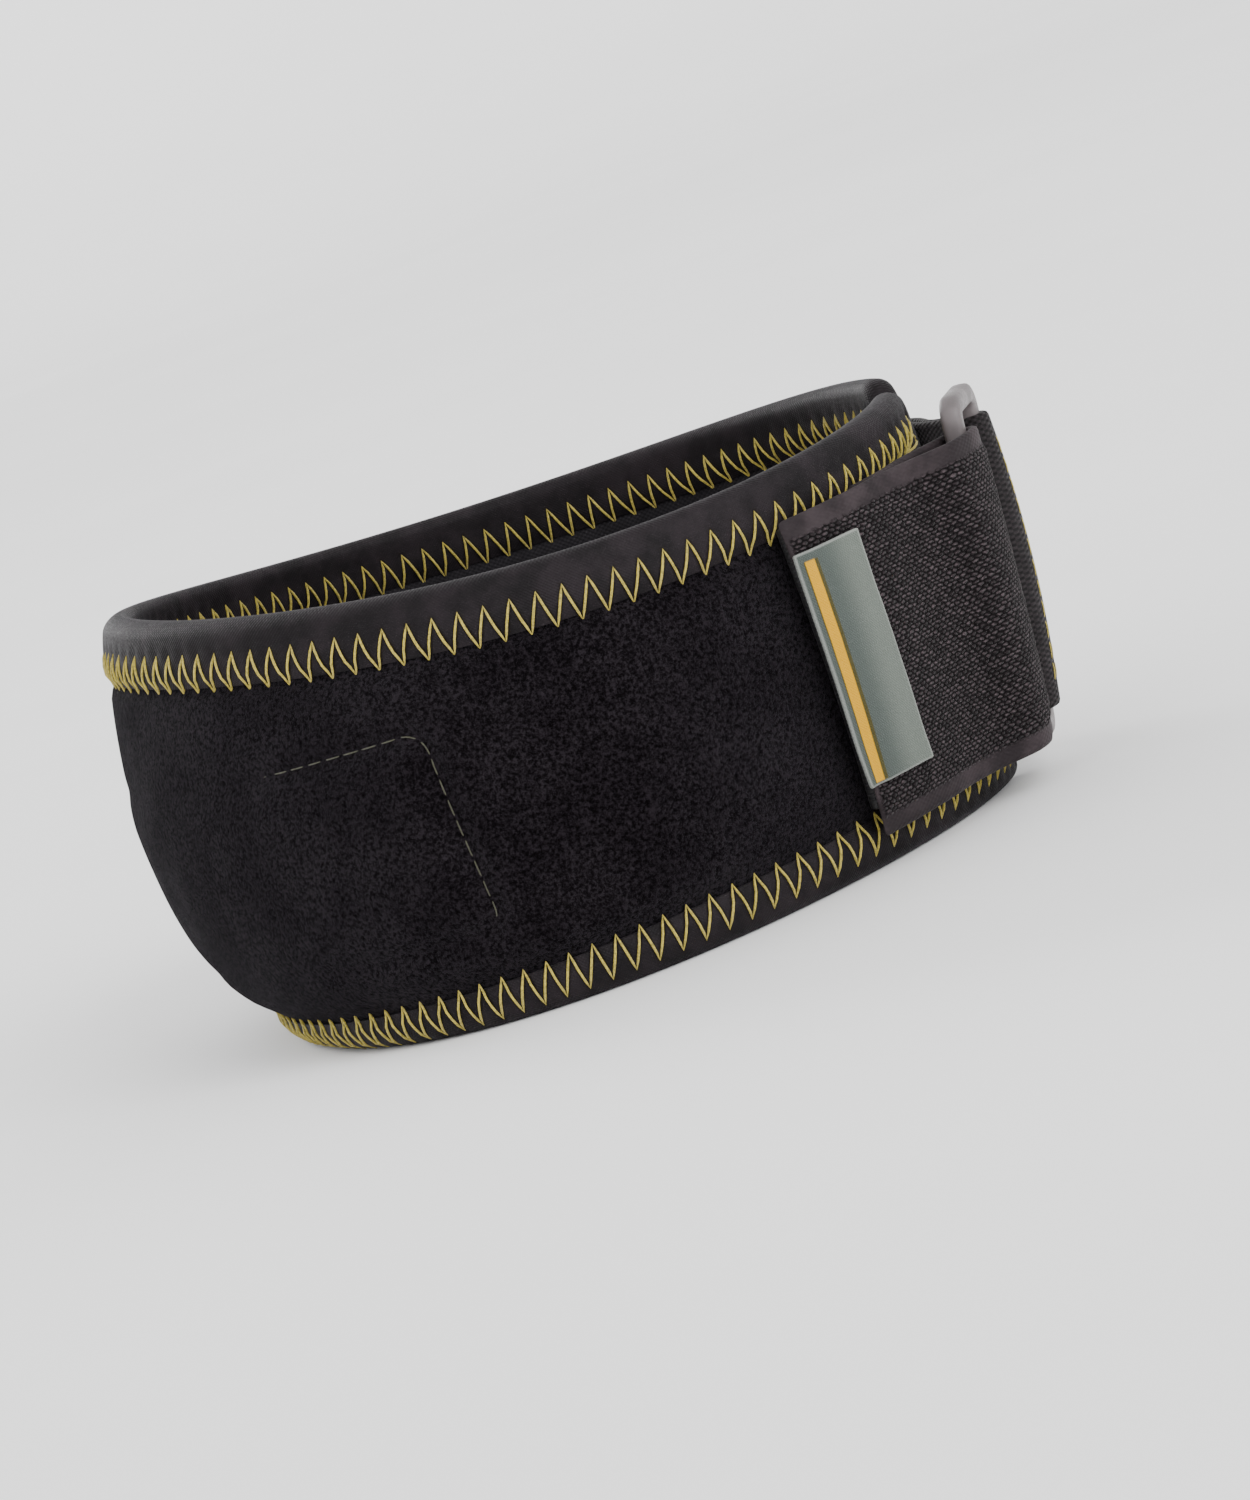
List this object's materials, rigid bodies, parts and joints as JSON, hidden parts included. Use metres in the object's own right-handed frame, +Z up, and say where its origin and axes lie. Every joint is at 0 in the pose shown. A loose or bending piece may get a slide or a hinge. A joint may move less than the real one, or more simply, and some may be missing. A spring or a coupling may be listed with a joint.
{
  "type": "patella strap",
  "caption": "Velvet-faced knee strap worn below the kneecap, with bound edges, a padded front and a pile strap that folds back through a plastic ring.",
  "frame": {"origin": "on the surface that the strap rests on, under the middle of its bounding box", "axes": "+Z up along the axis of the leg opening, -X towards the front of the knee, where the pad is, -Y towards the near side, where the strap closes"},
  "size_m": [0.1332, 0.1182, 0.065],
  "materials": {
    "velvet": "blue-black velvet, loop face",
    "binding": "smooth charcoal knitted tape",
    "pad": "dark cloth over soft foam",
    "pile": "coarse loop pile webbing",
    "ring": "satin light grey plastic",
    "hook": "dark hook tape",
    "label": "woven grey tab with a golden stripe"
  },
  "bodies": {
    "root": {"band": "velvet", "edge_binding": "binding", "tendon_pad": "pad", "closing_strap": "pile", "ring_keeper": "pile", "hook_tab": "hook", "label": "label", "buckle_ring": "ring"}
  },
  "joints": []
}
